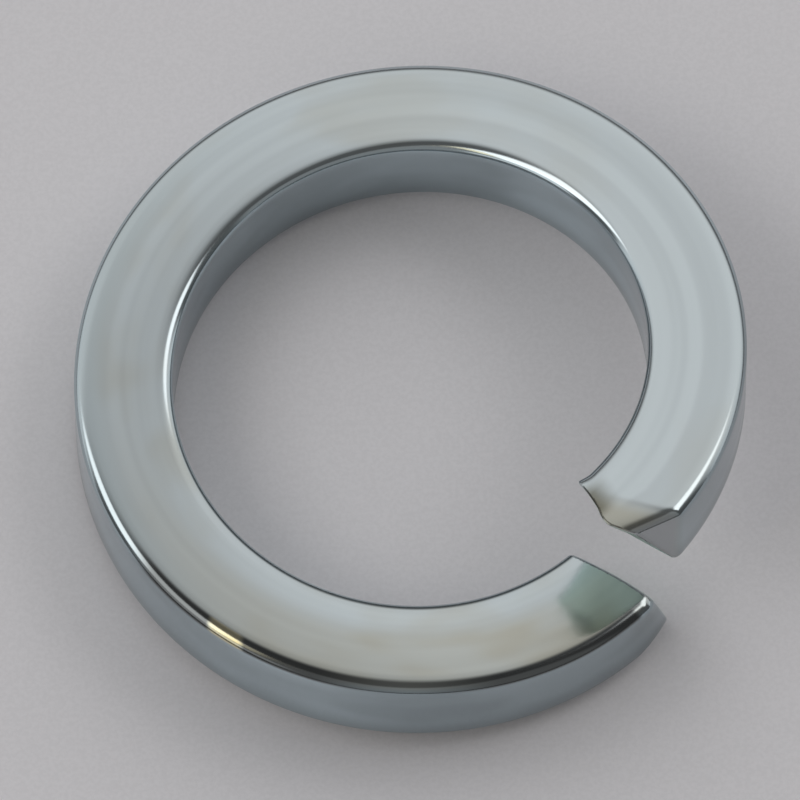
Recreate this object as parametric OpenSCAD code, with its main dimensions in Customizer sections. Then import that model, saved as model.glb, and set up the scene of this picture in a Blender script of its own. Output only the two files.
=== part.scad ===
// Spring lock washer: one turn of a left-handed coil of near-square wire,
// sheared off at a slit so that one end springs up above the other.
// +Z runs along the bore. The origin is on the bore's axis, level with the
// lowest point, which is the underside of the low end.

/* [Ring] */
// Diameter of the bore
bore_d = 16.4; // [12:0.1:24]
// Width of the ring, from the bore to the outer wall
ring_w = 3.4; // [2.4:0.1:5]
// Thickness of the wire, along the bore
wire_t = 3.6; // [2.4:0.1:5]
// Width that each of the wire's rolled edges takes off a flat face
edge_w = 0.48; // [0.2:0.02:0.8]
// Height that each rolled edge takes off a wall
edge_h = 0.3; // [0.1:0.02:0.8]

/* [Coil] */
// Open height between the low end's nut side and the raised end's underside
end_gap = 1.26; // [0.4:0.02:3]
// How far the middle of the turn lies below an even climb
sag = 0.56; // [0:0.02:0.7]

/* [Slit] */
// Angle of the slit's foot round the bore, counted from +X
slit_angle = -38.1; // [-180:0.1:180]
// Gap that the shear leaves between the two ends, round the outer wall
slit_gap = 0.05; // [0.05:0.05:1.5]
// How far the raised end's cut leans along the coil, at the bore
raised_lean_in = 1.15; // [0.4:0.05:2]
// How far the raised end's cut leans, at the outer wall
raised_lean_out = 1.55; // [0.4:0.05:2]
// How far the low end's cut leans, at the bore
low_lean_in = 1.5; // [0.4:0.05:2]
// How far the low end's cut leans, at the outer wall
low_lean_out = 1.2; // [0.4:0.05:2]
// Bow of the raised end's cut between the bore and the outer wall
raised_bow = 0.4; // [0:0.05:0.8]
// Bow of the low end's cut, likewise, of which its flat face shows about half
low_bow = 0.15; // [0:0.05:0.8]

/* [Sheared corner of the raised end] */
// Length of the sheared corner along the outer wall
corner_l = 1.7; // [0.6:0.1:2.5]
// Depth of the sheared corner at the ring's tip, in from the outer wall
corner_w = 0.7; // [0.2:0.05:1.5]

/* [Low end] */
// Length over which the shear pinched the outer wall in
pinch_l = 1.7; // [1:0.1:4]
// Depth of the pinch at the ring's tip
pinch_w = 0.4; // [0:0.02:0.8]
// Length of the flat that the shear pressed into the nut side
press_l = 2; // [1:0.1:3]
// Depth of the flat at the outer wall
press_d = 0.26; // [0.06:0.02:0.5]
// Rim left whole between the bore and the start of the flat
press_rim = 1.3; // [0.6:0.1:2]
// Angle by which the flat's inner side turns in towards the bore
press_skew = 16; // [0:1:25]
// Angle between the flat's inner side and its back
press_spread = 76; // [60:1:90]

/* [Hidden] */
// Radii of the bore and of the outer wall
bore_r = bore_d / 2;
outer_r = bore_r + ring_w;
// How far the raised end lies above the low end
lead = wire_t + end_gap;
// Rolled edges, never more than the wire has room for
edge_across = min(edge_w, 0.4 * ring_w);
edge_up = min(edge_h, 0.4 * wire_t);
// Share of a full circle, in degrees, that the wire fills
turn = 360 - arc_angle(slit_gap, outer_r);
// Angles at which the wire's foot starts, at the raised end, and stops
start_angle = slit_angle + arc_angle(slit_gap, outer_r) / 2;
stop_angle = start_angle + turn;
// Stations along the coil, and facets round each rolled edge
STEPS = 90;
EDGE_FACETS = 3;
// Height that clears the whole coil, above and below
clear_h = lead + 2 * wire_t;

// Angle that an arc takes at a radius
function arc_angle(arc, radius) = arc / radius * 180 / PI;

// Height of the coil's underside at an angle, from the raised end down
function rise(angle) =
    let (share = (angle - start_angle) / turn)
    lead * (1 - share) - 4 * sag * share * (1 - share);

// Angle by which the wire at a radius and height runs ahead of its foot. It
// goes evenly from the raised end's lean to the low end's.
function lean(radius, height, foot_angle) =
    let (
        share = (foot_angle - start_angle) / turn,
        across = (radius - bore_r) / ring_w,
        at_bore = raised_lean_in * (1 - share) + low_lean_in * share,
        at_wall = raised_lean_out * (1 - share) + low_lean_out * share,
        bow = raised_bow * (1 - share) - low_bow * share,
        arc = at_bore * (1 - across) + at_wall * across + 4 * bow * across * (1 - across)
    )
    arc_angle(arc, radius) * height / wire_t;

// A radius, drawn in where the outer side is pinched, near the low end
function pinched(radius, foot_angle) =
    let (
        left = (stop_angle - foot_angle) * PI / 180 * outer_r,
        deep = pinch_w * max(0, 1 - left / pinch_l)
    )
    radius - deep * max(0, (radius - bore_r) / ring_w);

function reversed(list) = [for (i = [len(list) - 1 : -1 : 0]) list[i]];

// One rolled edge of the wire, from a flat face to a wall, as [radius,
// height]. Its last facet runs on past the wall, so that the wall trims it.
function rolled_edge(wall_r, face_h, out, up) =
    let (
        arc = [for (i = [0 : EDGE_FACETS])
            let (a = i * 90 / EDGE_FACETS)
            [
                wall_r + out * edge_across * (sin(a) - 1),
                face_h + up * edge_up * (cos(a) - 1)
            ]],
        at_wall = arc[EDGE_FACETS],
        before = arc[EDGE_FACETS - 1]
    )
    concat([for (i = [0 : EDGE_FACETS - 1]) arc[i]], [2 * at_wall - before]);

// The wire's section, round from the nut side's outer edge
section = concat(
    rolled_edge(outer_r, wire_t, 1, 1),
    reversed(rolled_edge(outer_r, 0, 1, -1)),
    rolled_edge(bore_r, 0, -1, -1),
    reversed(rolled_edge(bore_r, wire_t, -1, 1))
);

// The section stood in space where its foot is at an angle
function station(foot_angle) = [
    for (p = section)
        let (
            angle = foot_angle - lean(p[0], p[1], foot_angle),
            radius = pinched(p[0], foot_angle)
        )
        [radius * cos(angle), radius * sin(angle), rise(angle) + p[1]]
];

// The coiled wire with its rolled edges, a hair wider than the ring's walls
module coiled_wire() {
    n = len(section);
    points = [for (i = [0 : STEPS]) each station(start_angle + i * turn / STEPS)];
    sides = [
        for (i = [0 : STEPS - 1], j = [0 : n - 1])
            let (a = i * n + j, b = i * n + (j + 1) % n)
            each [[a, b + n, b], [a, a + n, b + n]]
    ];
    last = STEPS * n;
    raised_end = [for (j = [1 : n - 2]) [0, j, j + 1]];
    low_end = [for (j = [1 : n - 2]) [last, last + j + 1, last + j]];
    polyhedron(points, concat(sides, raised_end, low_end), convexity = 8);
}

// The round walls that the wire was rolled to
module ring_walls() {
    translate([0, 0, -wire_t])
        difference() {
            cylinder(r = outer_r, h = clear_h + wire_t, $fn = 180);
            translate([0, 0, -1]) cylinder(r = bore_r, h = clear_h + wire_t + 2, $fn = 180);
        }
}

// What the shear took off the raised end's outer corner: all that lies
// outside a plane from the outer wall to a point short of it at the tip
module sheared_corner() {
    tip_angle = start_angle - lean(outer_r, wire_t, start_angle);
    back_angle = tip_angle + arc_angle(corner_l, outer_r);
    back = outer_r * [cos(back_angle), sin(back_angle)];
    tip = (outer_r - corner_w) * [cos(tip_angle), sin(tip_angle)];
    along = tip - back;
    translate([back[0], back[1], lead - end_gap / 2])
        rotate([0, 0, atan2(along[1], along[0])])
            cube([2 * (corner_l + corner_w), ring_w, 2 * wire_t]);
}

// What the shear's tool pressed out of the low end's nut side: a flat that
// starts level with the face at its inner side and sinks towards the wall
module pressed_flat() {
    start_r = bore_r + press_rim;
    end_angle = stop_angle - lean(start_r, wire_t, stop_angle);
    flat_angle = end_angle - arc_angle(press_l, start_r);
    fall = rise(flat_angle) - rise(end_angle);
    long = press_l + 3 * low_lean_out;
    high = press_d + end_gap / 2;
    rotate([0, 0, flat_angle])
        translate([start_r, 0, rise(flat_angle) + wire_t])
            rotate([0, 0, 90 + press_skew])
                rotate([0, atan2(fall, press_l), 0])
                    rotate([atan2(press_d, ring_w - press_rim), 0, 0])
                        intersection() {
                            translate([0, -2 * ring_w, 0])
                                cube([long, 2 * ring_w, high]);
                            rotate([0, 0, 90 - press_spread])
                                translate([0, -3 * ring_w, -high])
                                    cube([2 * long, 5 * ring_w, 3 * high]);
                        }
}

module lock_washer() {
    color([0.68, 0.71, 0.7])
        difference() {
            intersection() {
                coiled_wire();
                ring_walls();
            }
            sheared_corner();
            pressed_flat();
        }
}

lock_washer();
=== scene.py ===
"""Looks of the spring lock washer: its mesh, zinc finish, floor, light and camera.

The ring is drawn in millimetres, from measures close to those of the solid
part, and brought to metres when it is finished. +Z runs along the bore.
"""

import logging
import math
from dataclasses import dataclass
from enum import Enum

import bmesh
import bpy
from mathutils import Matrix, Vector
from mathutils.bvhtree import BVHTree


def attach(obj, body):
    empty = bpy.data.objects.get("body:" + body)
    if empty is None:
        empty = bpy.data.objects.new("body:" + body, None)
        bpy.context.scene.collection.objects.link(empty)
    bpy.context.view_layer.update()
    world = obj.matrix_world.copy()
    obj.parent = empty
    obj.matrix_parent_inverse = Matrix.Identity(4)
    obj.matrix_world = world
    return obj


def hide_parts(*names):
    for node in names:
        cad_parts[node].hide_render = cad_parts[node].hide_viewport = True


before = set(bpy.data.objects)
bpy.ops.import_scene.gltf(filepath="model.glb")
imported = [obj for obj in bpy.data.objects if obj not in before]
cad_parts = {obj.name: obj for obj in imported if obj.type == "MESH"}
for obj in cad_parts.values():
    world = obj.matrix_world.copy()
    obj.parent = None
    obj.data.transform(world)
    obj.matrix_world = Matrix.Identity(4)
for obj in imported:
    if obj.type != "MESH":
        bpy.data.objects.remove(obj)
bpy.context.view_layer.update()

MM = 0.001
WIRE_LAYER = "wire_mm"
MARK_LAYER = "marks"
CUT_LAYER = "cut"
Colour = tuple[float, float, float, float]
# Angle past the raised end's foot within which that end's features act
RAISED_REACH = 1.0
log = logging.getLogger("lock_washer")


class End(Enum):
    """The two ends of the turn of wire."""

    RAISED = "raised"
    LOW = "low"


def arc_angle(arc: float, radius: float) -> float:
    """Angle, in radians, that an arc takes at a radius."""
    return arc / radius


def clamp(value: float) -> float:
    """The value, held between 0 and 1."""
    return max(0.0, min(1.0, value))


def ease(value: float) -> float:
    """Smooth step from 0 to 1 as value goes from 0 to 1."""
    t = clamp(value)
    return t * t * (3 - 2 * t)


@dataclass(frozen=True)
class Wire:
    """Measures of the wire and of the turn it is coiled to, in millimetres."""

    bore_r: float = 8.2
    # A hair narrower than the solid's ring, to stay inside its box
    ring_w: float = 3.3997
    thick: float = 3.6
    # Width and height that a rolled edge takes off a flat face and a wall
    edge_w: float = 0.48
    edge_h: float = 0.3
    # Open height at the slit, and the middle's sag below an even climb
    end_gap: float = 1.26
    sag: float = 0.56
    # Place of the slit, and the gap that it leaves round the outer wall
    slit_angle: float = math.radians(-38.1)
    slit_gap: float = 0.05
    # Lean of each end's cut along the coil, at the bore and at the outer wall
    raised_lean: tuple[float, float] = (1.15, 1.55)
    low_lean: tuple[float, float] = (1.5, 1.05)
    # Bow of each end's cut between the bore and the outer wall
    raised_bow: float = 0.46
    low_bow: float = 0.12
    # How far the sides of a flat face lie below its middle
    crown: float = 0.03

    @property
    def outer_r(self) -> float:
        """Radius of the outer wall."""
        return self.bore_r + self.ring_w

    @property
    def lead(self) -> float:
        """How far the raised end lies above the low end."""
        return self.thick + self.end_gap

    @property
    def turn(self) -> float:
        """Angle that the wire fills round the bore."""
        return math.tau - arc_angle(self.slit_gap, self.outer_r)

    @property
    def start(self) -> float:
        """Angle of the raised end's foot."""
        return self.slit_angle + arc_angle(self.slit_gap, self.outer_r) / 2

    def foot_angle(self, point: Vector) -> float:
        """Angle of a point of the unleaned coil, counted on from the slit."""
        past = (math.atan2(point.y, point.x) - self.slit_angle) % math.tau
        return self.slit_angle + past

    def rise(self, angle: float) -> float:
        """Height of the coil's underside at an angle."""
        share = (angle - self.start) / self.turn
        return self.lead * (1 - share) - 4 * self.sag * share * (1 - share)

    def climb(self, angle: float) -> float:
        """Height of the underside of the plain coil that spin makes."""
        return self.lead * (1 - (angle - self.start) / self.turn)

    def lean(self, radius: float, height: float, foot: float) -> float:
        """Angle by which the cut would run ahead of its foot.

        Args:
            radius: Distance from the bore's axis.
            height: Height in the wire.
            foot: Angle of the foot.

        Returns:
            The angle, which goes evenly from the raised end's to the low end's.
        """
        share = (foot - self.start) / self.turn
        across = (radius - self.bore_r) / self.ring_w
        inner, outer = (
            a * (1 - share) + b * share for a, b in zip(self.raised_lean, self.low_lean)
        )
        # Both bows are 1 at their peak, which the skewed one has nearer the wall
        skewed = 27 / 4 * across * across * (1 - across)
        even = 4 * across * (1 - across)
        bow = self.raised_bow * (1 - share) * skewed - self.low_bow * share * even
        arc = inner * (1 - across) + outer * across + bow
        return arc_angle(arc, radius) * height / self.thick

    def end_angle(self, end: End) -> float:
        """Angle of an end's foot."""
        return self.start if end is End.RAISED else self.start + self.turn


@dataclass(frozen=True)
class TightEdge:
    """A stretch of the bore's upper rolled edge that is rolled tighter."""

    wire: Wire
    middle: float = math.radians(125)
    half: float = math.radians(50)
    # Power of the tightest section's curve, where 2 is the plain oval
    power: float = 3.2

    def tighten(self, foot: float, radius: float, height: float) -> tuple[float, float]:
        """Pushes a point of the edge out towards a square corner.

        Args:
            foot: Angle of the point's foot.
            radius: Its distance from the bore's axis.
            height: Its height in the wire.

        Returns:
            The radius and the height on the tighter edge.
        """
        wire = self.wire
        across = 1 - (radius - wire.bore_r) / wire.edge_w
        up = 1 - (wire.thick - height) / wire.edge_h
        away = abs((foot - self.middle + math.pi) % math.tau - math.pi)
        share = ease(1 - away / self.half)
        if across <= 0 or up <= 0 or share == 0:
            return radius, height
        power = 2 + (self.power - 2) * share
        grown = math.hypot(across, up) / (across**power + up**power) ** (1 / power)
        return (
            wire.bore_r + (1 - across * grown) * wire.edge_w,
            wire.thick - (1 - up * grown) * wire.edge_h,
        )


@dataclass(frozen=True)
class ShearedCorner:
    """The corner that the shear took off the raised end, outside a line."""

    wire: Wire
    length: float = 1.7
    # Depth at the tip, at the nut side and at the foot
    depth: float = 0.7
    foot_depth: float = 0.5
    # Share of the width, from the bore out, that isn't drawn in
    kept: float = 0.35
    # Depth past which the steel is bare, and the bare band by the wall
    bare_depth: float = 0.15
    bare_band: float = 0.35
    bare_soft: float = 0.3

    def narrow(self, radius: float, angle: float, height: float) -> tuple[float, float]:
        """Draws a radius in, so that the wire narrows to the sheared line.

        Args:
            radius: Distance of the point from the bore's axis.
            angle: Its angle in plan, once leaned.
            height: Its height in the wire.

        Returns:
            The radius in the narrowed wire, and how bare the shear left the
            point, from 0 to 1.
        """
        wire = self.wire
        tip = wire.start - wire.lean(wire.outer_r, wire.thick, wire.start)
        back = tip + arc_angle(self.length, wire.outer_r)
        if angle > back:
            return radius, 0.0
        up = clamp(height / wire.thick)
        deep = self.depth * up + self.foot_depth * (1 - up)
        p_back = Vector((math.cos(back), math.sin(back))) * wire.outer_r
        p_tip = Vector((math.cos(tip), math.sin(tip))) * (wire.outer_r - deep)
        along = (p_tip - p_back).normalized()
        out = Vector((-along.y, along.x))
        if out.dot(p_back) < 0:
            out.negate()
        ray = Vector((math.cos(angle), math.sin(angle)))
        short = wire.outer_r - out.dot(p_back) / out.dot(ray)
        inner = wire.bore_r + self.kept * wire.ring_w
        outer = wire.outer_r - wire.edge_w
        share = clamp((radius - inner) / (outer - inner))
        band = ease((radius - wire.outer_r + self.bare_band) / self.bare_soft)
        bare = ease(short / self.bare_depth) * band
        return radius - max(0.0, short) * share, bare


@dataclass(frozen=True)
class OutwardLean:
    """Fall of the nut side from the bore to the outer wall, more at the low end."""

    wire: Wire
    fall: float = 0.05
    # Fall added at the low end. It starts as many lengths from the end as
    # onset says, and is whole one length on.
    more: float = 0.18
    length: float = 7.0
    onset: float = 1.3

    def drop(self, foot: float, radius: float, height: float) -> float:
        """How far a point of the wire comes down.

        Args:
            foot: Angle of the point's foot.
            radius: Its distance from the bore's axis.
            height: Its height in the wire.

        Returns:
            The drop, in millimetres.
        """
        wire = self.wire
        left = (wire.end_angle(End.LOW) - foot) * wire.outer_r
        fall = self.fall + self.more * ease(self.onset - left / self.length)
        across = (radius - wire.bore_r) / wire.ring_w
        return fall * across * clamp(height / wire.thick)


@dataclass(frozen=True)
class RolledTip:
    """The raised end's nut side, which the shear drew down past a line."""

    wire: Wire
    # Where the line meets the outer wall, and how steeply the metal falls
    length: float = 1.9
    slope: float = 0.09
    soft: float = 0.3
    # Distance past the line at which the tint is full, and the farthest bent
    tinted: float = 0.8
    farthest: float = 3.0
    # Length of the darker patch by the end's rim, and its sides across the wire with their
    # softness. It fades out downwards in one part of so many of the thickness.
    rim_patch: float = 1.1
    rim_patch_inner: tuple[float, float] = (0.2, 0.5)
    rim_patch_outer: tuple[float, float] = (2.1, 0.8)
    rim_patch_parts: float = 4.0

    def droop(self, point: Vector, height: float) -> tuple[Vector, float]:
        """Draws a point of the raised end down.

        Args:
            point: The point, once leaned.
            height: Its height in the wire.

        Returns:
            The point, lowered where it is past the line from the inner tip
            to the start of the sheared corner, and how far it is past that
            line, from 0 to 1.
        """
        wire = self.wire
        inner = wire.start - wire.lean(wire.bore_r, wire.thick, wire.start)
        outer = wire.start - wire.lean(wire.outer_r, wire.thick, wire.start)
        outer += arc_angle(self.length, wire.outer_r)
        first = Vector((math.cos(inner), math.sin(inner))) * wire.bore_r
        line = Vector((math.cos(outer), math.sin(outer))) * wire.outer_r - first
        past = line.cross(point.xy - first) / -line.length
        if past <= 0 or past > self.farthest:
            return point, 0.0
        share = clamp(height / wire.thick) ** 2
        drop = self.slope * past * ease(past / self.soft)
        return point - Vector((0, 0, drop * share)), ease(past / self.tinted)

    def rim_darkening(self, foot: float, radius: float, height: float) -> float:
        """Share, from 0 to 1, of the darker patch by the end's rim at a point."""
        wire = self.wire
        past = (foot - wire.start) * radius
        across = radius - wire.bore_r
        inner, inner_soft = self.rim_patch_inner
        outer, outer_soft = self.rim_patch_outer
        below = 1 - height / wire.thick
        share = ease(1 - past / self.rim_patch) * ease((across - inner) / inner_soft)
        return share * ease((outer - across) / outer_soft) * ease(1 - below * self.rim_patch_parts)


@dataclass(frozen=True)
class PinchedSide:
    """The outer side of the low end, which the shear pinched in."""

    wire: Wire
    # Length and depth of the pinch at the foot, and at the nut side
    length: float = 1.7
    depth: float = 0.3
    top_length: float = 3.4
    top_depth: float = 0.02
    power: float = 1.3
    # Depth and length of the rounding of the nut side's outer corner
    corner: float = 0.14
    corner_length: float = 0.35
    # Share of the width, from the bore out, that isn't drawn in
    kept: float = 0.35

    def narrow(self, radius: float, foot: float, height: float) -> float:
        """Draws a radius in near the low end.

        Args:
            radius: Distance of the point from the bore's axis.
            foot: Angle of the point's foot.
            height: Height of the point in the wire.

        Returns:
            The radius in the pinched wire.
        """
        wire = self.wire
        left = (wire.end_angle(End.LOW) - foot) * wire.outer_r
        up = clamp(height / wire.thick)
        reach = self.length * (1 - up) + self.top_length * up
        if left > reach:
            return radius
        inner = wire.bore_r + self.kept * wire.ring_w
        outer = wire.outer_r - wire.edge_w
        deep = self.depth * (1 - up) + self.top_depth * up
        drawn = deep * (1 - left / reach) ** self.power
        drawn += self.corner * ease(1 - left / self.corner_length) * up * up
        return radius - drawn * clamp((radius - inner) / (outer - inner))


@dataclass(frozen=True)
class Burr:
    """The point that the shear drew out at the raised end's inner corner."""

    wire: Wire
    # How far the corner is drawn, and half the distance over which that fades
    reach: float = 0.12
    spread: float = 0.35

    def draw(self, point: Vector, radius: float, height: float) -> Vector:
        """Draws the inner corner of the raised end in towards the bore.

        Args:
            point: The point, once leaned.
            radius: Its distance from the bore's axis.
            height: Its height in the wire.

        Returns:
            The moved point.
        """
        wire = self.wire
        tip = wire.start - wire.lean(radius, wire.thick, wire.start)
        past = (math.atan2(point.y, point.x) - tip) * radius
        away = math.hypot(past, radius - wire.bore_r, wire.thick - height)
        share = ease(1 - away / (2 * self.spread))
        inward = -Vector((point.x, point.y, 0)).normalized()
        return point + inward * self.reach * share


@dataclass
class Ring:
    """The turn of near-square wire, with its rolled edges and sheared ends."""

    wire: Wire = Wire()
    steps: int = 640
    edge_segments: int = 8
    face_cuts: int = 13
    wall_cuts: int = 9
    # Easing of the cut's rim, and rings of faces laid inside it
    rim: float = 0.12
    rim_segments: int = 4
    insets: tuple[float, ...] = (0.04, 0.06, 0.06)
    # Least length of a flat of the section, and most corners of a side face
    flat_length: float = 1.0
    side_corners: int = 8
    # Angles by which a rim's edge and a cut face's point miss the end's foot
    rim_slack: float = 0.01
    cut_slack: float = 0.001
    join: float = 1e-5
    sharp: float = math.radians(30)

    def section(self, bm: bmesh.types.BMesh) -> None:
        """Draws the wire's section, standing at the raised end's foot."""
        wire = self.wire
        oval = wire.edge_w / wire.edge_h
        bmesh.ops.create_grid(bm, x_segments=1, y_segments=1, size=0.5)
        bmesh.ops.scale(bm, vec=(wire.ring_w / oval, wire.thick, 1), verts=bm.verts[:])
        bmesh.ops.bevel(
            bm,
            geom=bm.verts[:],
            offset=wire.edge_h,
            offset_type="OFFSET",
            affect="VERTICES",
            segments=self.edge_segments,
            profile=0.5,
            material=-1,
        )
        bmesh.ops.scale(bm, vec=(oval, 1, 1), verts=bm.verts[:])
        bmesh.ops.delete(bm, geom=bm.faces[:], context="FACES_ONLY")
        for cuts, axis in ((self.face_cuts, 0), (self.wall_cuts, 1)):
            flats = [
                e
                for e in bm.edges
                if abs((e.verts[0].co - e.verts[1].co)[axis]) > self.flat_length
            ]
            bmesh.ops.subdivide_edges(bm, edges=flats, cuts=cuts)
        stand = (
            Matrix.Rotation(wire.start, 4, "Z")
            @ Matrix.Translation(
                (wire.bore_r + wire.ring_w / 2, 0, wire.lead + wire.thick / 2)
            )
            @ Matrix.Rotation(math.pi / 2, 4, "X")
        )
        bmesh.ops.transform(bm, matrix=stand, verts=bm.verts[:])

    def coil(self, bm: bmesh.types.BMesh) -> None:
        """Runs the section round the bore, down from the raised end."""
        bmesh.ops.spin(
            bm,
            geom=bm.verts[:] + bm.edges[:],
            cent=(0, 0, 0),
            axis=(0, 0, 1),
            dvec=(0, 0, -self.wire.lead / self.steps),
            angle=self.wire.turn,
            steps=self.steps,
            use_merge=False,
            use_duplicate=False,
        )

    def close(self, bm: bmesh.types.BMesh) -> None:
        """Closes both ends, eases their rims and lays rings of faces in them."""
        rims = [e for e in bm.edges if e.is_boundary]
        for end in End:
            angle = self.wire.end_angle(end)
            loop = [e for e in rims if self.near(e, angle)]
            bmesh.ops.edgeloop_fill(bm, edges=loop)
        bmesh.ops.bevel(
            bm,
            geom=rims,
            offset=self.rim,
            offset_type="OFFSET",
            affect="EDGES",
            segments=self.rim_segments,
            profile=0.5,
            material=-1,
        )
        caps = [f for f in bm.faces if len(f.verts) > self.side_corners]
        for thickness in self.insets:
            bmesh.ops.inset_region(
                bm, faces=caps, thickness=thickness, use_even_offset=True
            )

    def near(self, edge: bmesh.types.BMEdge, angle: float) -> bool:
        """Whether an edge lies at the end whose foot is at an angle."""
        mid = (edge.verts[0].co + edge.verts[1].co) / 2
        return abs(self.wire.foot_angle(mid) - angle) < self.rim_slack

    def form(self, bm: bmesh.types.BMesh) -> None:
        """Gives the plain coil its sag, leaning cut, crown and end features."""
        wire = self.wire
        corner = ShearedCorner(wire)
        outward = OutwardLean(wire)
        tip = RolledTip(wire)
        pinch = PinchedSide(wire)
        burr = Burr(wire)
        far_edge = TightEdge(wire)
        layer = bm.verts.layers.float_vector.new(WIRE_LAYER)
        marks = bm.verts.layers.float_vector.new(MARK_LAYER)
        cut = bm.verts.layers.float.new(CUT_LAYER)
        middle = wire.bore_r + wire.ring_w / 2
        for vert in bm.verts:
            foot = wire.foot_angle(vert.co)
            radius = math.hypot(vert.co.x, vert.co.y)
            height = vert.co.z - wire.climb(foot)
            vert[layer] = ((foot - wire.start) * middle, radius - wire.bore_r, height)
            radius, height = far_edge.tighten(foot, radius, height)
            angle = foot - wire.lean(radius, height, foot)
            across = (radius - middle) / (wire.ring_w / 2)
            dome = wire.crown * across * across * (2 * height / wire.thick - 1)
            point_r = pinch.narrow(radius, foot, height)
            rolled = bare = rim_darkening = 0.0
            at_raised_end = foot < wire.start + RAISED_REACH
            if at_raised_end:
                point_r, bare = corner.narrow(radius, angle, height)
            drop = dome + outward.drop(foot, radius, height)
            level = wire.rise(angle) + height - drop
            point = Vector((point_r * math.cos(angle), point_r * math.sin(angle), level))
            if at_raised_end:
                point, rolled = tip.droop(point, height)
                rim_darkening = tip.rim_darkening(foot, radius, height)
                point = burr.draw(point, radius, height)
            vert[marks] = (rolled, bare, rim_darkening)
            from_end = min(foot - wire.start, wire.start + wire.turn - foot)
            vert[cut] = float(from_end < self.cut_slack)
            vert.co = point

    def dress(self, ring: bpy.types.Object, plating: bpy.types.Material) -> None:
        """Plates the ring and ties it to its part in the frame.

        Args:
            ring: The finished ring.
            plating: The zinc plating.
        """
        ring.data.materials.append(plating)
        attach(ring, "root")
        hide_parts("lock_washer")

    def build(self) -> bpy.types.Object:
        """Makes the finished ring, in metres.

        Returns:
            The ring's mesh object, at the origin.
        """
        bm = bmesh.new()
        self.section(bm)
        self.coil(bm)
        self.close(bm)
        self.form(bm)
        bmesh.ops.remove_doubles(bm, verts=bm.verts[:], dist=self.join)
        bmesh.ops.scale(bm, vec=(MM, MM, MM), verts=bm.verts[:])
        bmesh.ops.recalc_face_normals(bm, faces=bm.faces[:])
        for face in bm.faces:
            face.smooth = True
        mesh = bpy.data.meshes.new("lock_washer_ring")
        bm.to_mesh(mesh)
        bm.free()
        mesh.set_sharp_from_angle(angle=self.sharp)
        ring = bpy.data.objects.new("lock_washer_ring", mesh)
        bpy.context.scene.collection.objects.link(ring)
        tris = sum(len(p.vertices) - 2 for p in mesh.polygons)
        log.info("ring: %d faces, %d triangles", len(mesh.polygons), tris)
        return ring


class Nodes:
    """Short calls for building a shader tree."""

    def __init__(self, tree: bpy.types.NodeTree) -> None:
        """Takes the tree to build in."""
        self.tree = tree

    def add(self, kind: str, **values: object) -> bpy.types.Node:
        """Adds a node and sets its properties.

        Args:
            kind: The node's type, such as ShaderNodeMath.
            **values: Properties of the node by name.

        Returns:
            The node.
        """
        node = self.tree.nodes.new(kind)
        for name, value in values.items():
            setattr(node, name, value)
        return node

    def feed(self, socket: bpy.types.NodeSocket, value: object) -> None:
        """Links an output to a socket, or sets the socket to a constant."""
        if isinstance(value, bpy.types.NodeSocket):
            self.tree.links.new(value, socket)
        else:
            socket.default_value = value

    def math(self, operation: str, *values: object) -> bpy.types.NodeSocket:
        """Adds a Math node and returns its output."""
        node = self.add("ShaderNodeMath", operation=operation)
        for socket, value in zip(node.inputs, values):
            self.feed(socket, value)
        return node.outputs[0]

    def span(
        self, value: object, a: float, b: float, to_a: float = 0, to_b: float = 1
    ) -> bpy.types.NodeSocket:
        """Maps a value smoothly from the range a to b to the range to_a to to_b."""
        node = self.add("ShaderNodeMapRange", interpolation_type="SMOOTHSTEP")
        for socket, item in zip(node.inputs, (value, a, b, to_a, to_b)):
            self.feed(socket, item)
        return node.outputs[0]

    def mix(
        self, share: object, first: object, second: object, blend: str = "MIX"
    ) -> bpy.types.NodeSocket:
        """Mixes two colours by a share and returns the result."""
        node = self.add("ShaderNodeMix", data_type="RGBA", blend_type=blend)
        self.feed(node.inputs[0], share)
        self.feed(node.inputs[6], first)
        self.feed(node.inputs[7], second)
        return node.outputs[2]

    def noise(self, vector: object, scale: float, detail: float = 2) -> bpy.types.NodeSocket:
        """Adds a noise texture and returns its value."""
        node = self.add("ShaderNodeTexNoise")
        self.feed(node.inputs["Vector"], vector)
        self.feed(node.inputs["Scale"], scale)
        self.feed(node.inputs["Detail"], detail)
        return node.outputs[0]

    def parts(self, vector: object) -> list[bpy.types.NodeSocket]:
        """Splits a vector into its three parts."""
        node = self.add("ShaderNodeSeparateXYZ")
        self.feed(node.inputs[0], vector)
        return list(node.outputs)

    def stretch(self, vector: object, scale: tuple[float, ...]) -> bpy.types.NodeSocket:
        """Scales a vector by axis through a Mapping node."""
        node = self.add("ShaderNodeMapping")
        self.feed(node.inputs["Vector"], vector)
        self.feed(node.inputs["Scale"], scale)
        return node.outputs[0]


def rgb(red: float, green: float, blue: float) -> Colour:
    """A colour with full alpha, in linear values."""
    return (red, green, blue, 1.0)


@dataclass(frozen=True)
class Ramp:
    """A value that passes smoothly from one to another between two places."""

    start: float
    stop: float
    before: float = 0.0
    after: float = 1.0

    def at(self, nodes: Nodes, place: object) -> bpy.types.NodeSocket:
        """The ramp's value at a place."""
        return nodes.span(place, self.start, self.stop, self.before, self.after)


@dataclass(frozen=True)
class Stretch:
    """A stretch of the wire, in millimetres along it, with soft ends."""

    start: float
    full: float
    fade: float
    stop: float

    def at(self, nodes: Nodes, along: object) -> bpy.types.NodeSocket:
        """How far a place along the wire is in the stretch, from 0 to 1."""
        rise = nodes.span(along, self.start, self.full)
        fall = nodes.span(along, self.fade, self.stop, 1, 0)
        return nodes.math("MULTIPLY", rise, fall)


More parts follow.
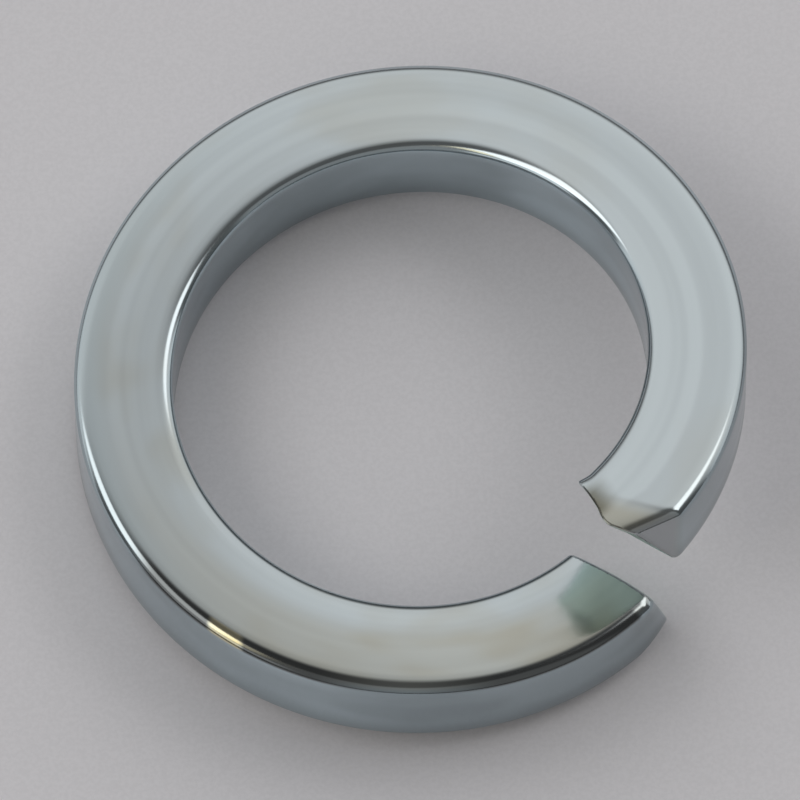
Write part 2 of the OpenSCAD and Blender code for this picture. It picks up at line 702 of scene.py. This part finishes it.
@dataclass(frozen=True)
class ZincPlate:
    """Bright zinc plating with a faint blue and straw passivation film, and painted shade and a
    painted glint on its walls and outer edge.
    """

    blue: Colour = rgb(0.535, 0.59, 0.61)
    straw: Colour = rgb(0.455, 0.455, 0.4)
    wall: Colour = rgb(0.52, 0.61, 0.65)
    # Colour of the painted warm glint on the outer rolled edge
    warm_glint: Colour = rgb(0.72, 0.67, 0.47)
    strip: Colour = rgb(0.44, 0.5, 0.52)
    # Colour of the painted shade that hides the window's reflection on stretches of the outer
    # rolled edge
    edge_shade: Colour = rgb(0.17, 0.18, 0.18)
    rim_patch: Colour = rgb(0.13, 0.125, 0.09)
    shear: Colour = rgb(0.62, 0.75, 0.70)
    steel: Colour = rgb(0.39, 0.41, 0.42)
    # Straw film of the nut side: where it lies, its share there, what the
    # blotches add, and how it thins towards the raised end
    straw_along: Stretch = Stretch(38, 50, 59, 65)
    straw_across: Ramp = Ramp(0.8, 1.7)
    straw_share: float = 0.6
    straw_blotches: Ramp = Ramp(0.45, 0.7, 0, 0.5)
    straw_thinning: Ramp = Ramp(16, 32, 0.4, 1)
    # Faint bands that run along the wire
    bands: Ramp = Ramp(0.35, 0.65)
    band_share: float = 0.12
    # Darker strip by the outer wall, at the left
    strip_along: Stretch = Stretch(27, 35, 42, 50)
    strip_across: Ramp = Ramp(2.0, 2.9, 0, 0.8)
    # Middle of the wire's width, and how far from it the walls' film starts
    middle: float = 1.7
    wall_side: Ramp = Ramp(1.45, 1.68)
    # Brightness of the walls: painted shade that darkens them towards the foot, where they
    # reflect the floor's contact shadow, then tone by the blotches and along the wire
    foot_shade: Ramp = Ramp(0, 1.5, 0.7, 1)
    blotch_tone: Ramp = Ramp(0.35, 0.65, 0.9, 1.08)
    wall_tones: tuple[Ramp, ...] = (
        Ramp(6, 15, 0.66, 1.1),
        Ramp(16, 21, 1, 0.8),
        Ramp(46, 48, 1, 1.14),
        Ramp(50, 55, 1, 0.73),
    )
    # Painted light on the outer wall's upper rolled edge: a warm glint, and stretches of painted
    # shade
    edge_across: Ramp = Ramp(2.95, 3.06)
    edge_up: Ramp = Ramp(3.3, 3.4)
    glint_along: Stretch = Stretch(47.6, 47.9, 48.7, 49.0)
    # Stretches of the edge darkened with painted shade, which hides the window's reflection
    # there
    edge_shade_along: tuple[Stretch, Stretch] = (
        Stretch(44.2, 45.6, 51, 54),
        Stretch(54, 57, 61.4, 61.6),
    )
    # How fine each pattern is along, across and up the wire
    blotch_grain: tuple[float, float, float] = (0.2, 0.42, 0.42)
    band_grain: tuple[float, float, float] = (0.015, 1.0, 1.0)
    streak_grain: tuple[float, float, float] = (0.1, 2.6, 2.6)
    # Shine of the plating and of the cut, and the height of the streaks
    roughness: float = 0.14
    streak_swing: float = 0.03
    streak_range: tuple[float, float] = (0.3, 0.7)
    cut_roughness: float = 0.32
    streak_strength: float = 0.04
    streak_height: float = 0.02 * MM
    rim_patch_share: float = 0.8

    def nut_side(
        self, nodes: Nodes, source: bpy.types.Node, blotch: object
    ) -> bpy.types.NodeSocket:
        """Tint of the film on the nut side.

        Args:
            nodes: The group's nodes.
            source: The group's input node.
            blotch: Noise that says where the film is blotched.

        Returns:
            The tint.
        """
        wire = source.outputs["Wire"]
        along, across, _ = nodes.parts(wire)
        warm = nodes.math(
            "MULTIPLY", self.straw_along.at(nodes, along), self.straw_across.at(nodes, across)
        )
        blotches = self.straw_blotches.at(nodes, blotch)
        share = nodes.math("MULTIPLY_ADD", warm, self.straw_share, blotches)
        share = nodes.math("MULTIPLY", share, self.straw_thinning.at(nodes, along))
        tint = nodes.mix(share, source.outputs["Blue"], source.outputs["Straw"])
        bands = nodes.noise(nodes.stretch(wire, self.band_grain), 1.0)
        tint = nodes.mix(self.band_share, tint, self.bands.at(nodes, bands), "MULTIPLY")
        strip = nodes.math(
            "MULTIPLY", self.strip_along.at(nodes, along), self.strip_across.at(nodes, across)
        )
        return nodes.mix(strip, tint, self.strip)

    def walls(
        self, nodes: Nodes, source: bpy.types.Node, blotch: object
    ) -> bpy.types.NodeSocket:
        """Tint of the film on the bore's wall and the outer wall, darkened towards the foot by
        painted shade.

        Args:
            nodes: The group's nodes.
            source: The group's input node.
            blotch: Noise that says where the film is blotched.

        Returns:
            The tint.
        """
        along, _, up = nodes.parts(source.outputs["Wire"])
        # Painted shade: the walls darken towards their foot
        tone = nodes.math(
            "MULTIPLY", self.foot_shade.at(nodes, up), self.blotch_tone.at(nodes, blotch)
        )
        for ramp in self.wall_tones:
            tone = nodes.math("MULTIPLY", tone, ramp.at(nodes, along))
        return nodes.mix(1.0, source.outputs["Wall"], tone, "MULTIPLY")

    def paint_edge_light(
        self, nodes: Nodes, source: bpy.types.Node, tint: object
    ) -> bpy.types.NodeSocket:
        """Paints a warm glint and stretches of shade on the outer rolled edge.

        Args:
            nodes: The group's nodes.
            source: The group's input node.
            tint: The tint without the painted light.

        Returns:
            The tint with the painted light.
        """
        along, across, up = nodes.parts(source.outputs["Wire"])
        edge = nodes.math(
            "MULTIPLY", self.edge_across.at(nodes, across), self.edge_up.at(nodes, up)
        )
        # Painted glint: a reflection of warm light on the edge, laid into the base colour
        glint = self.glint_along.at(nodes, along)
        first, second = (stretch.at(nodes, along) for stretch in self.edge_shade_along)
        # Painted shade over these stretches darkens the edge's reflection of the window
        edge_shade = nodes.math("SUBTRACT", nodes.math("ADD", first, second), glint)
        tint = nodes.mix(nodes.math("MULTIPLY", edge_shade, edge), tint, self.edge_shade)
        return nodes.mix(nodes.math("MULTIPLY", glint, edge), tint, source.outputs["Warm glint"])

    def film(self) -> bpy.types.NodeTree:
        """Node group: tint of the film over the wire, with painted shade and a painted glint,
        and its drawn streaks.
        """
        tree = bpy.data.node_groups.new("plating_film_and_painted_light", "ShaderNodeTree")
        face = tree.interface
        face.new_socket("Wire", in_out="INPUT", socket_type="NodeSocketVector")
        for name in ("Blue", "Straw", "Wall", "Warm glint"):
            face.new_socket(name, in_out="INPUT", socket_type="NodeSocketColor")
        face.new_socket("Tint", in_out="OUTPUT", socket_type="NodeSocketColor")
        face.new_socket("Streaks", in_out="OUTPUT", socket_type="NodeSocketFloat")
        nodes = Nodes(tree)
        source = nodes.add("NodeGroupInput")
        sink = nodes.add("NodeGroupOutput")
        wire = source.outputs["Wire"]
        _, across, _ = nodes.parts(wire)
        blotch = nodes.noise(nodes.stretch(wire, self.blotch_grain), 1.0)
        off = nodes.math("ABSOLUTE", nodes.math("SUBTRACT", across, self.middle))
        side = self.wall_side.at(nodes, off)
        nut_tint = self.nut_side(nodes, source, blotch)
        tint = nodes.mix(side, nut_tint, self.walls(nodes, source, blotch))
        nodes.feed(sink.inputs["Tint"], self.paint_edge_light(nodes, source, tint))
        streaks = nodes.noise(nodes.stretch(wire, self.streak_grain), 1.0)
        nodes.feed(sink.inputs["Streaks"], streaks)
        return tree

    def material(self) -> bpy.types.Material:
        """Builds the plating as a material."""
        made = bpy.data.materials.new("zinc_plate")
        made.use_nodes = True
        tree = made.node_tree
        tree.nodes.clear()
        nodes = Nodes(tree)
        out = nodes.add("ShaderNodeOutputMaterial")
        shader = nodes.add("ShaderNodeBsdfPrincipled")
        wire = nodes.add("ShaderNodeAttribute", attribute_name=WIRE_LAYER)
        film = nodes.add("ShaderNodeGroup", node_tree=self.film())
        nodes.feed(film.inputs["Wire"], wire.outputs["Vector"])
        nodes.feed(film.inputs["Blue"], self.blue)
        nodes.feed(film.inputs["Straw"], self.straw)
        nodes.feed(film.inputs["Wall"], self.wall)
        nodes.feed(film.inputs["Warm glint"], self.warm_glint)
        marks = nodes.add("ShaderNodeAttribute", attribute_name=MARK_LAYER)
        rolled, bare, rim_darkening = nodes.parts(marks.outputs["Vector"])
        tint = nodes.mix(rolled, film.outputs["Tint"], self.straw)
        tint = nodes.mix(bare, tint, self.steel)
        darkened = nodes.math("MULTIPLY", rim_darkening, self.rim_patch_share)
        tint = nodes.mix(darkened, tint, self.rim_patch)
        cut = nodes.add("ShaderNodeAttribute", attribute_name=CUT_LAYER).outputs["Fac"]
        tint = nodes.mix(cut, tint, self.shear)
        nodes.feed(shader.inputs["Base Color"], tint)
        shader.inputs["Metallic"].default_value = 1.0
        least = self.roughness - self.streak_swing
        most = self.roughness + self.streak_swing
        rough = nodes.span(film.outputs["Streaks"], *self.streak_range, least, most)
        rough = nodes.math("MULTIPLY_ADD", cut, self.cut_roughness, rough)
        nodes.feed(shader.inputs["Roughness"], rough)
        bump = nodes.add("ShaderNodeBump")
        bump.inputs["Strength"].default_value = self.streak_strength
        bump.inputs["Distance"].default_value = self.streak_height
        nodes.feed(bump.inputs["Height"], film.outputs["Streaks"])
        nodes.feed(shader.inputs["Normal"], bump.outputs["Normal"])
        nodes.feed(out.inputs["Surface"], shader.outputs["BSDF"])
        return made


@dataclass(frozen=True)
class Tabletop:
    """The plain pale grey surface that the washer lies on."""

    colour: Colour = rgb(0.8, 0.785, 0.81)
    size: float = 6.0
    roughness: float = 0.85
    sheen: float = 0.1
    # Fine grain: how fine it is, its detail, and how far it changes the colour
    grain: float = 7000
    grain_detail: float = 3
    grain_swing: float = 0.025
    grain_range: tuple[float, float] = (0.3, 0.7)

    def material(self) -> bpy.types.Material:
        """Builds the surface's matt finish, clear from below."""
        made = bpy.data.materials.new("pale_tabletop")
        made.use_nodes = True
        tree = made.node_tree
        tree.nodes.clear()
        nodes = Nodes(tree)
        out = nodes.add("ShaderNodeOutputMaterial")
        shader = nodes.add("ShaderNodeBsdfPrincipled")
        place = nodes.add("ShaderNodeTexCoord").outputs["Object"]
        grain = nodes.noise(place, self.grain, self.grain_detail)
        deep = rgb(*[part * (1 - self.grain_swing) for part in self.colour[:3]])
        light = rgb(*[part * (1 + self.grain_swing) for part in self.colour[:3]])
        tint = nodes.mix(nodes.span(grain, *self.grain_range), deep, light)
        nodes.feed(shader.inputs["Base Color"], tint)
        shader.inputs["Roughness"].default_value = self.roughness
        shader.inputs["Specular IOR Level"].default_value = self.sheen
        clear = nodes.add("ShaderNodeBsdfTransparent")
        back = nodes.add("ShaderNodeNewGeometry").outputs["Backfacing"]
        side = nodes.add("ShaderNodeMixShader")
        nodes.feed(side.inputs[0], back)
        nodes.feed(side.inputs[1], shader.outputs["BSDF"])
        nodes.feed(side.inputs[2], clear.outputs["BSDF"])
        nodes.feed(out.inputs["Surface"], side.outputs[0])
        return made

    def build(self, ring: bpy.types.Object) -> bpy.types.Object:
        """Lays the surface under the ring, at the tilt that the ring rests at.

        Args:
            ring: The finished ring.

        Returns:
            The surface's object.
        """
        point, normal = self.rest(ring)
        bm = bmesh.new()
        bmesh.ops.create_grid(bm, x_segments=1, y_segments=1, size=self.size / 2)
        turn = Vector((0, 0, 1)).rotation_difference(normal).to_matrix().to_4x4()
        place = Matrix.Translation(point) @ turn
        bmesh.ops.transform(bm, matrix=place, verts=bm.verts[:])
        mesh = bpy.data.meshes.new("tabletop")
        bm.to_mesh(mesh)
        bm.free()
        mesh.materials.append(self.material())
        floor = bpy.data.objects.new("tabletop", mesh)
        bpy.context.scene.collection.objects.link(floor)
        log.info("tabletop: tilt %.2f degrees", math.degrees(normal.angle((0, 0, 1))))
        return floor

    def rest(self, ring: bpy.types.Object) -> tuple[Vector, Vector]:
        """Finds the plane that the ring rests on, from its hull.

        Args:
            ring: The finished ring.

        Returns:
            A point of the plane, below the ring's middle, and the plane's
            normal, which points up.
        """
        bm = bmesh.new()
        bm.from_mesh(ring.data)
        middle = sum((v.co for v in bm.verts), Vector()) / len(bm.verts)
        bmesh.ops.convex_hull(bm, input=bm.verts[:])
        bmesh.ops.delete(
            bm, geom=[v for v in bm.verts if not v.link_faces], context="VERTS"
        )
        tree = BVHTree.FromBMesh(bm)
        point, normal, _, _ = tree.ray_cast(middle, Vector((0, 0, -1)))
        bm.free()
        return point, normal if normal.z > 0 else -normal


@dataclass(frozen=True)
class Window:
    """A soft panel of light in the studio, with its place and size in degrees."""

    azimuth: float
    elevation: float
    half_wide: float
    half_high: float
    strength: float
    soft: float
    tint: Colour = rgb(1, 1, 1)


@dataclass(frozen=True)
class Studio:
    """The soft light round the washer.

    A direction's angle is counted over the washer from the horizon behind it,
    so it is 90 degrees straight up and 180 at the horizon by the camera.
    """

    level: float = 1.03
    # Brightness of the sky behind the washer, and of the rest of the room
    back: float = 0.85
    dim: float = 0.115
    # Angles between which the sky fades at its top and comes up at its foot
    sky_top: Ramp = Ramp(math.radians(61), math.radians(90), 1, 0)
    sky_foot: Ramp = Ramp(math.radians(13), math.radians(36))
    low_glow: Window = Window(220, 25, 22, 9, 0.85, 10)
    left_window: Window = Window(191, 48, 32, 13, 1.8, 6)
    warm_light: Window = Window(227, 50, 4.5, 11, 1.6, 4, rgb(1.0, 0.86, 0.55))
    right_window: Window = Window(16, 51, 22, 11, 1.8, 6)
    pale_room: Window = Window(281, 34, 48, 28, 0.3, 14)

    @property
    def windows(self) -> tuple[Window, ...]:
        """All the windows, in the order that their tints are laid on."""
        return (
            self.low_glow,
            self.left_window,
            self.warm_light,
            self.right_window,
            self.pale_room,
        )

    def panel(self, nodes: Nodes, window: Window, ray: object) -> bpy.types.NodeSocket:
        """How much of a window a direction sees.

        Args:
            nodes: The world's nodes.
            window: The window.
            ray: The direction.

        Returns:
            The share, from 0 to 1.
        """
        turned = nodes.add("ShaderNodeVectorRotate", rotation_type="AXIS_ANGLE")
        nodes.feed(turned.inputs["Vector"], ray)
        nodes.feed(turned.inputs["Axis"], (0, 0, 1))
        nodes.feed(turned.inputs["Angle"], -math.radians(window.azimuth))
        x, y, z = nodes.parts(turned.outputs[0])
        wide = nodes.math("ABSOLUTE", nodes.math("ARCTAN2", y, x))
        high = nodes.math("ARCSINE", z)
        off = nodes.math("SUBTRACT", high, math.radians(window.elevation))
        tall = nodes.math("ABSOLUTE", off)
        shares = []
        for value, half in ((wide, window.half_wide), (tall, window.half_high)):
            near = math.radians(half - window.soft / 2)
            far = math.radians(half + window.soft / 2)
            shares.append(nodes.span(value, near, far, 1, 0))
        return nodes.math("MULTIPLY", *shares)

    def world(self) -> None:
        """Lights the scene: bright behind the washer, dim over the camera."""
        made = bpy.data.worlds.new("studio")
        made.use_nodes = True
        tree = made.node_tree
        tree.nodes.clear()
        nodes = Nodes(tree)
        out = nodes.add("ShaderNodeOutputWorld")
        ray = nodes.add("ShaderNodeTexCoord").outputs["Generated"]
        _, y, z = nodes.parts(ray)
        over = nodes.math("ARCTAN2", z, y)
        sky = nodes.math("MULTIPLY", self.sky_top.at(nodes, over), self.sky_foot.at(nodes, over))
        total = nodes.math("MULTIPLY_ADD", sky, self.back - self.dim, self.dim)
        colour = rgb(1, 1, 1)
        for window in self.windows:
            share = self.panel(nodes, window, ray)
            lit = nodes.math("MULTIPLY", share, window.strength)
            total = nodes.math("MAXIMUM", total, lit)
            colour = nodes.mix(share, colour, window.tint)
        back = nodes.add("ShaderNodeBackground")
        nodes.feed(back.inputs["Strength"], nodes.math("MULTIPLY", total, self.level))
        nodes.feed(back.inputs["Color"], colour)
        nodes.feed(out.inputs["Surface"], back.outputs[0])
        bpy.context.scene.world = made
        log.info("studio: %d windows", len(self.windows))


@dataclass(frozen=True)
class Camera:
    """The camera, at the photograph's angle, with a long lens."""

    tilt: float = math.radians(63.47)
    roll: float = math.radians(-0.449)
    distance: float = 0.7
    # Width of the picture at the washer, and of the camera's sensor
    span: float = 27.65 * MM
    sensor: float = 36
    near: float = 0.01
    far: float = 50
    # Point looked at: its height, and its place in shares of the outer radius
    height: float = 3.82 * MM
    outer_r: float = 11.6 * MM
    aside: float = -0.02994
    above: float = -0.02541

    def build(self) -> bpy.types.Object:
        """Sets the camera up.

        Returns:
            The camera's object.
        """
        level = Vector((1, 0, 0))
        toward = Vector((0, -math.cos(self.tilt), math.sin(self.tilt)))
        steep = toward.cross(level)
        right = math.cos(self.roll) * level + math.sin(self.roll) * steep
        upward = -math.sin(self.roll) * level + math.cos(self.roll) * steep
        middle = Vector((0, 0, self.height))
        middle += (self.aside * right + self.above * upward) * self.outer_r
        data = bpy.data.cameras.new("camera")
        data.sensor_width = self.sensor
        data.lens = self.sensor * self.distance / self.span
        data.clip_start = self.near
        data.clip_end = self.far
        camera = bpy.data.objects.new("camera", data)
        axes = Matrix((right, upward, toward)).transposed().to_4x4()
        camera.matrix_world = Matrix.Translation(middle + toward * self.distance) @ axes
        bpy.context.scene.collection.objects.link(camera)
        bpy.context.scene.camera = camera
        return camera


def main() -> None:
    """Builds the washer and its studio, and reports each piece."""
    logging.basicConfig(level=logging.INFO, format="%(name)s: %(message)s")
    bpy.context.scene.view_settings.view_transform = "Standard"
    washer = Ring()
    ring = washer.build()
    washer.dress(ring, ZincPlate().material())
    floor = Tabletop().build(ring)
    Studio().world()
    camera = Camera().build()
    log.info("camera: %.0f mm lens", camera.data.lens)


if __name__ == "__main__":
    main()
